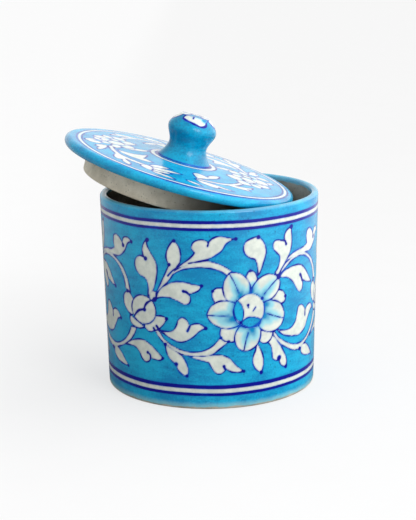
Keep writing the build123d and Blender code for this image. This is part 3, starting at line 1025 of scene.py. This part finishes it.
knobPaint = {
    "glaze": {"Deep": toned(0, 116, 158), "Bright": toned(0, 162, 202), "Speck": toned(4, 84, 126),
              "Patch Scale": 90, "Speck Amount": 0.4},
    "footRing": [(0, 0.35)], "shine": 0.26,
}


def knobMaterial():
    material, tree, place, shader = newMaterial("knob_glaze")
    ground = use(tree, "glaze", {"Vector": place, **knobPaint["glaze"]})
    painted = painting(tree, place, ground["Color"], rings(tree, attribute(tree, "rise"), knobPaint["footRing"]))
    finishGlaze(tree, shader, place, painted, ground, shine=knobPaint["shine"])
    return material


warmPaste = {
    "clay": {"Pale": toned(238, 230, 210), "Shade": toned(204, 195, 174), "Grit": toned(96, 92, 84),
             "Grit Amount": 0.55},
    # from where to where the painted shade comes in across the ring, in metres, and how strong it gets
    "paintedShade": (-0.026, 0.008, 0, 0.82), "paintedShadeWander": 0.02, "roughness": (0.82, 0.94), "bumpDistance": 0.0003,
}


def ringMaterial():
    # painted shade: the ring is painted darker towards its right (+X) side, where it dips into the jar's mouth under
    # the lid's edge
    material, tree, place, shader = newMaterial("bare_paste")
    clay = use(tree, "clay", {"Vector": place, **warmPaste["clay"]})
    # painted shade across the ring, its edge wavering with noise
    side = plus(coordinate(place, "X"), times(noise(place, 60, 3), warmPaste["paintedShadeWander"]))
    feed(shader, {"Base Color": blended(step(side, *warmPaste["paintedShade"]), clay["Color"], paintedShadeTone),
                  "Roughness": step(noise(place, 200), 0.3, 0.7, *warmPaste["roughness"]),
                  "Normal": bump(tree, clay["Height"], warmPaste["bumpDistance"])})
    return material


for piece, body, slotName, nodes, material in (
        (jarPiece, "jar", "painted_glaze", ("jar_wall", "jar_base"), jarMaterial()),
        (discPiece, "lid", "painted_glaze", ("lid_disc",), lidMaterial()),
        (ringPiece, "lid", "bare_paste", ("lid_ring",), ringMaterial()),
        (knobPiece, "lid", "knob_glaze", ("lid_knob",), knobMaterial())):
    piece.data.materials.append(material)
    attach(piece, body)
    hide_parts(*nodes)
print("materials made")


studio = {
    "floorSize": 30, "paper": (toned(144, 144, 144), toned(147, 147, 147)), "backdrop": toned(250, 250, 250),
    # the floor's own light to either side of the object, in metres from left to right, and what it sends back
    "glow": (-0.16, -0.06, 0.641, 0.606), "rightBounce": (0.05, 0.28, 0.24, 0.95), "leftBounce": (-0.3, -0.06, 0.62, 0),
    # the room by direction: from where to where its level changes, then from which level to which
    "front": (0.02, 0.5, 0.2108, 0.806), "right": (0.1, 0.75), "rightLevel": 2.2, "left": (-0.9, -0.35, 0.44, 0.62),
    "back": (0.5, 0.85, 0, 1.08), "above": (0.35, 0.75, 0, 0.52),
}


def makeFloor():
    half = studio["floorSize"] / 2
    mesh = bpy.data.meshes.new("studio_floor")
    mesh.from_pydata([(-half, -half, 0), (half, -half, 0), (half, half, 0), (-half, half, 0)], [], [(0, 1, 2, 3)])
    floor = bpy.data.objects.new("studio_floor", mesh)
    bpy.context.collection.objects.link(floor)
    material, tree, place, shader = newMaterial("floor_paper")
    straight = node(tree, "LightPath").outputs["Is Camera Ray"]
    across = coordinate(place, "X")
    bounce = most(step(across, *studio["rightBounce"]), step(across, *studio["leftBounce"]))
    sentBack = node(tree, "CombineColor", {0: bounce, 1: bounce, 2: bounce}).outputs[0]
    paper = blended(noise(place, 30, 3, 0.6), *studio["paper"])
    feed(shader, {"Base Color": blended(straight, sentBack, paper), "Roughness": 0.95, "Specular IOR Level": 0,
                  "Emission Color": (1, 1, 1, 1), "Emission Strength": times(straight, step(across, *studio["glow"]))})
    mesh.materials.append(material)


def makeWorld():
    # a studio room: bright above, behind and to the right, dim in front; and a plain backdrop straight behind
    world = bpy.data.worlds.new("studio")
    bpy.context.scene.world = world
    world.use_nodes = True
    tree = world.node_tree
    tree.nodes.clear()
    x, y, z = node(tree, "SeparateXYZ", {0: node(tree, "TexCoord").outputs["Generated"]}).outputs
    front = step(z, *studio["front"])
    level = most(step(x, *studio["right"], front, studio["rightLevel"]), step(x, *studio["left"]),
                 step(y, *studio["back"]), step(z, *studio["above"]))
    room = node(tree, "Background", {"Color": (1, 1, 1, 1), "Strength": level})
    seen = node(tree, "Background", {"Color": studio["backdrop"], "Strength": 1})
    straight = node(tree, "LightPath").outputs["Is Camera Ray"]
    mixed = node(tree, "MixShader", {0: straight, 1: room.outputs[0], 2: seen.outputs[0]})
    node(tree, "OutputWorld", {"Surface": mixed.outputs[0]})


window = {"place": (0.4, -0.6, 0.52), "aim": (0, 0, 0.06), "size": (0.36, 0.32), "power": 2.3}


def makeWindow():
    light = bpy.data.lights.new("window", "AREA")
    light.shape = "RECTANGLE"
    light.size, light.size_y = window["size"]
    light.energy = window["power"]
    lamp = bpy.data.objects.new("window", light)
    lamp.location = window["place"]
    lamp.rotation_mode = "QUATERNION"
    lamp.rotation_quaternion = (Vector(window["aim"]) - Vector(window["place"])).to_track_quat("-Z", "Y")
    bpy.context.collection.objects.link(lamp)


# the camera looks down by its pitch at the target and leans by its roll, both in degrees
view = {"lens": 93.7, "target": (-0.0009, 0, 0.05591), "distance": 0.628, "pitch": 13.624, "roll": -0.8}


def makeCamera():
    pitch, roll = radians(view["pitch"]), radians(view["roll"])
    forward = np.array([0, cos(pitch), -sin(pitch)])
    right = np.array([1, 0, 0])
    up = np.cross(right, forward)
    side = cos(roll) * right + sin(roll) * up
    top = -sin(roll) * right + cos(roll) * up
    place = np.array(view["target"]) - view["distance"] * forward
    turned = np.eye(4)
    turned[:3, 0], turned[:3, 1], turned[:3, 2], turned[:3, 3] = side, top, -forward, place
    camera = bpy.data.objects.new("camera", bpy.data.cameras.new("camera"))
    camera.data.lens = view["lens"]
    camera.matrix_world = Matrix(turned.tolist())
    bpy.context.collection.objects.link(camera)
    bpy.context.scene.camera = camera


makeFloor()
makeWorld()
makeWindow()
makeCamera()
bpy.context.scene.view_settings.view_transform = "Standard"
print("studio made")
